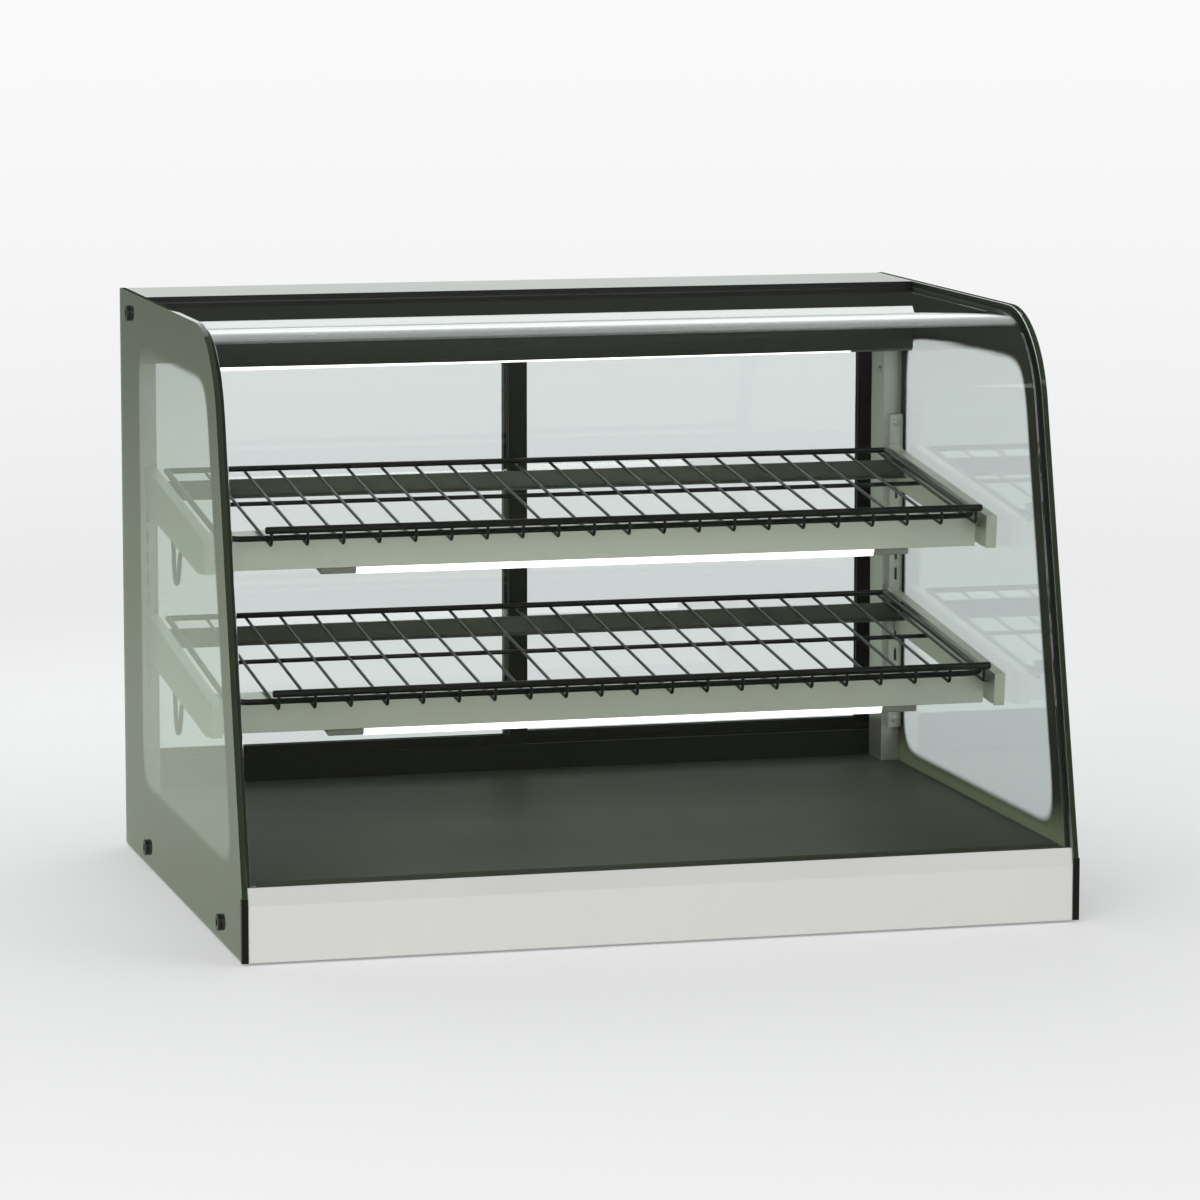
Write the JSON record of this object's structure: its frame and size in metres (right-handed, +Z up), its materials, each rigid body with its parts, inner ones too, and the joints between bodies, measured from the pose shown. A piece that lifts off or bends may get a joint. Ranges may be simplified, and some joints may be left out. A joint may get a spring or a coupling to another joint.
{
  "type": "countertop bakery case",
  "caption": "Countertop bakery case with leaning curved front glass, glass ends, sloping lit wire shelves and sliding rear doors.",
  "frame": {"origin": "on the counter, under the middle of the case's bounding box", "axes": "+Z up, +Y from the customers' front to the server's back, +X to the right as seen from the front"},
  "size_m": [0.922, 0.711, 0.648],
  "materials": {
    "black_sheet": "satin",
    "foot_rubber": "matte",
    "apron_metal": "satin",
    "deck_black": "semi-gloss",
    "track_black": "satin",
    "end_glass": "polished",
    "bolt_black": "satin",
    "trim_black": "satin",
    "front_glass": "polished",
    "seal_black": "matte",
    "pin_steel": "satin",
    "black_plastic": "matte",
    "satin_aluminium": "satin",
    "lamp_white": "frosted",
    "white_plastic": "matte",
    "lens_white": "frosted",
    "rocker_black": "gloss",
    "ballast_white": "gloss",
    "door_glass": "polished",
    "glide_plastic": "matte",
    "bracket_metal": "satin",
    "bar_metal": "satin",
    "holder_olive": "satin",
    "wire_black": "satin",
    "lead_black": "matte"
  },
  "bodies": {
    "cabinet": {"base_pan": "black_sheet", "base_feet": "foot_rubber", "front_apron": "apron_metal", "deck_panel": "deck_black", "door_sill": "track_black", "end_glass_left": "end_glass", "end_glass_right": "end_glass", "end_glass_bolts": "bolt_black", "corner_trims": "trim_black", "glass_pivot_blocks": "black_plastic", "header_cover": "satin_aluminium", "light_housing": "black_sheet", "top_lamp": "lamp_white", "top_lamp_holders": "white_plastic", "top_lens": "lens_white", "door_head_track": "track_black", "rear_post_left": "satin_aluminium", "rear_post_right": "satin_aluminium", "door_jambs": "track_black", "shelf_standard_left": "satin_aluminium", "shelf_standard_right": "satin_aluminium", "switch_bezel": "black_plastic", "lamp_ballast": "ballast_white", "cord_gland": "black_plastic", "lead_sockets": "black_plastic", "upper_bracket_left": "bracket_metal", "upper_bracket_right": "bracket_metal", "upper_light_bar": "bar_metal", "upper_lamp": "lamp_white", "upper_lamp_holders": "holder_olive", "upper_lens": "lens_white", "upper_grid": "wire_black", "upper_stop_rail": "wire_black", "upper_stretcher": "bar_metal", "upper_lamp_lead": "lead_black", "lower_bracket_left": "bracket_metal", "lower_bracket_right": "bracket_metal", "lower_light_bar": "bar_metal", "lower_lamp": "lamp_white", "lower_lamp_holders": "holder_olive", "lower_lens": "lens_white", "lower_grid": "wire_black", "lower_stop_rail": "wire_black", "lower_stretcher": "bar_metal", "lower_lamp_lead": "lead_black"},
    "front_glass": {"front_glass": "front_glass", "front_glass_seals": "seal_black", "front_glass_rail": "trim_black", "glass_pivot_pins": "pin_steel"},
    "rear_door_left": {"door_frame_left": "track_black", "door_glass_left": "door_glass", "door_pull_left": "black_plastic", "door_glides_left": "glide_plastic"},
    "rear_door_right": {"door_frame_right": "track_black", "door_glass_right": "door_glass", "door_pull_right": "black_plastic", "door_glides_right": "glide_plastic"},
    "light_switch": {"switch_rocker": "rocker_black"}
  },
  "joints": [
    {"name": "front_glass_tilt", "type": "hinge", "parent": "cabinet", "child": "front_glass", "pos_m": [0, -0.34417, 0.07579], "axis": [1, 0, 0], "range_deg": [0, 30]},
    {"name": "left_door_slide", "type": "slide", "parent": "cabinet", "child": "rear_door_left", "axis": [1, 0, 0], "range_m": [0, 0.425]},
    {"name": "right_door_slide", "type": "slide", "parent": "cabinet", "child": "rear_door_right", "axis": [1, 0, 0], "range_m": [-0.425, 0]},
    {"name": "switch_rock", "type": "hinge", "parent": "cabinet", "child": "light_switch", "pos_m": [0.3305, 0.3465, 0.04], "axis": [1, 0, 0], "range_deg": [-16, 0]}
  ]
}
